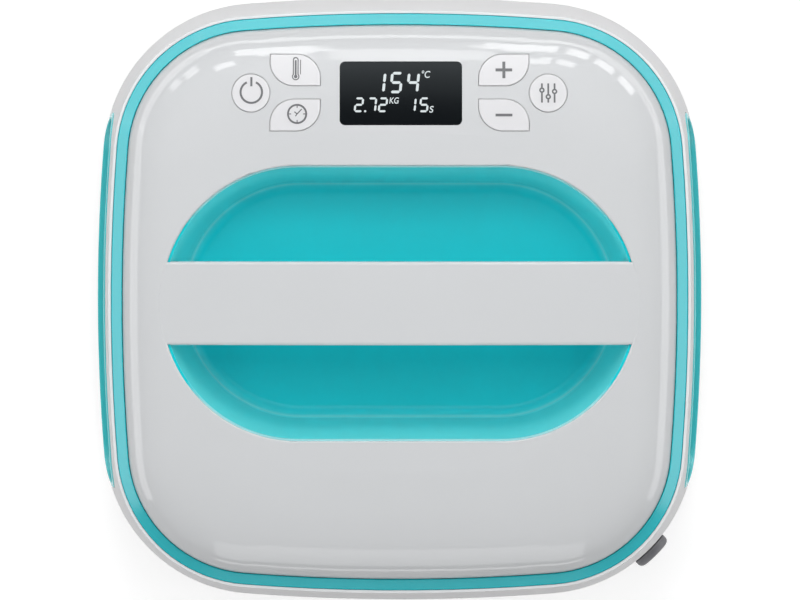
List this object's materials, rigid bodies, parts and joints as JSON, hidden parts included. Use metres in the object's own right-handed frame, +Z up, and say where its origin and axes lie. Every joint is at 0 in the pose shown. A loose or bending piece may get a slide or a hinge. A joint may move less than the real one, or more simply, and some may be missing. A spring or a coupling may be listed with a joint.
{
  "type": "handheld heat press",
  "caption": "Portable square heat press with a bridge handle over a scooped hollow, side grips, touch-size keys, a display and a flat heated plate",
  "frame": {"origin": "centre of the heat plate's working face, on which the press rests", "axes": "+Z up, +Y towards the rear where the display is, +X to the right of a user who stands at the front"},
  "size_m": [0.2862, 0.2873, 0.1196],
  "materials": {
    "shell_plastic": "glossy white moulding",
    "housing_plastic": "satin white moulding",
    "trim_plastic": "light turquoise moulding",
    "scoop_plastic": "turquoise moulding",
    "grip_plastic": "turquoise moulding",
    "button_plastic": "white key with grey symbol",
    "lens_plastic": "smoked black lens",
    "plate_metal": "cast aluminium, dark non-stick coating",
    "heater_steel": "heat-tinted steel tube",
    "ceramic": "glazed ceramic",
    "sheet_steel": "zinc-plated sheet",
    "fibre": "needled glass fibre",
    "frame_plastic": "heat-resistant moulding",
    "cell_metal": "milled aluminium",
    "gland_plastic": "dark grey nylon",
    "bumper_rubber": "pale grey rubber",
    "board_laminate": "green circuit board",
    "keypad_rubber": "translucent silicone",
    "lcd_panel": "display module",
    "part_plastic": "black component case",
    "relay_plastic": "blue relay case",
    "core_iron": "laminated core with winding",
    "can_metal": "sleeved capacitor can",
    "sink_metal": "black anodised fins",
    "terminal_plastic": "green terminal block",
    "spacer_brass": "brass spacer",
    "screw_steel": "zinc-plated screw"
  },
  "bodies": {
    "press": {"heat_plate": "plate_metal", "heating_element": "heater_steel", "heater_terminals": "ceramic", "temperature_sensor": "cell_metal", "thermal_fuse": "sheet_steel", "insulation_pad": "fibre", "heat_shield": "sheet_steel", "base_frame": "frame_plastic", "load_cells": "cell_metal", "lower_housing": "housing_plastic", "side_grip_right": "grip_plastic", "side_grip_left": "grip_plastic", "trim_ring": "trim_plastic", "cord_gland": "gland_plastic", "gland_nut": "gland_plastic", "rear_bumper": "bumper_rubber", "handle_scoop": "scoop_plastic", "handle_underside": "shell_plastic", "top_shell": "shell_plastic", "display_lens": "lens_plastic", "display_board": "board_laminate", "power_board": "board_laminate", "silicone_keypad": "keypad_rubber", "lcd_module": "lcd_panel", "buzzer": "part_plastic", "relay": "relay_plastic", "transformer": "core_iron", "capacitors": "can_metal", "heat_sink": "sink_metal", "terminal_block": "terminal_plastic", "board_spacers": "spacer_brass", "board_screws": "screw_steel", "shell_screws": "screw_steel", "housing_screws": "screw_steel", "handle_screws": "screw_steel", "scoop_screws": "screw_steel", "plate_screws": "screw_steel"},
    "power_button": {"power_button": "button_plastic"},
    "temperature_button": {"temperature_button": "button_plastic"},
    "timer_button": {"timer_button": "button_plastic"},
    "plus_button": {"plus_button": "button_plastic"},
    "minus_button": {"minus_button": "button_plastic"},
    "mode_button": {"mode_button": "button_plastic"}
  },
  "joints": [
    {"name": "power_press", "type": "slide", "parent": "press", "child": "power_button", "axis": [0, 0, -1], "range_m": [0, 0.0005], "stiffness_N_per_m": 1500, "springref_m": -0.0004},
    {"name": "temperature_press", "type": "slide", "parent": "press", "child": "temperature_button", "axis": [0, 0, -1], "range_m": [0, 0.0005], "stiffness_N_per_m": 1500, "springref_m": -0.0004},
    {"name": "timer_press", "type": "slide", "parent": "press", "child": "timer_button", "axis": [0, 0, -1], "range_m": [0, 0.0005], "stiffness_N_per_m": 1500, "springref_m": -0.0004},
    {"name": "plus_press", "type": "slide", "parent": "press", "child": "plus_button", "axis": [0, 0, -1], "range_m": [0, 0.0005], "stiffness_N_per_m": 1500, "springref_m": -0.0004},
    {"name": "minus_press", "type": "slide", "parent": "press", "child": "minus_button", "axis": [0, 0, -1], "range_m": [0, 0.0005], "stiffness_N_per_m": 1500, "springref_m": -0.0004},
    {"name": "mode_press", "type": "slide", "parent": "press", "child": "mode_button", "axis": [0, 0, -1], "range_m": [0, 0.0005], "stiffness_N_per_m": 1500, "springref_m": -0.0004}
  ]
}
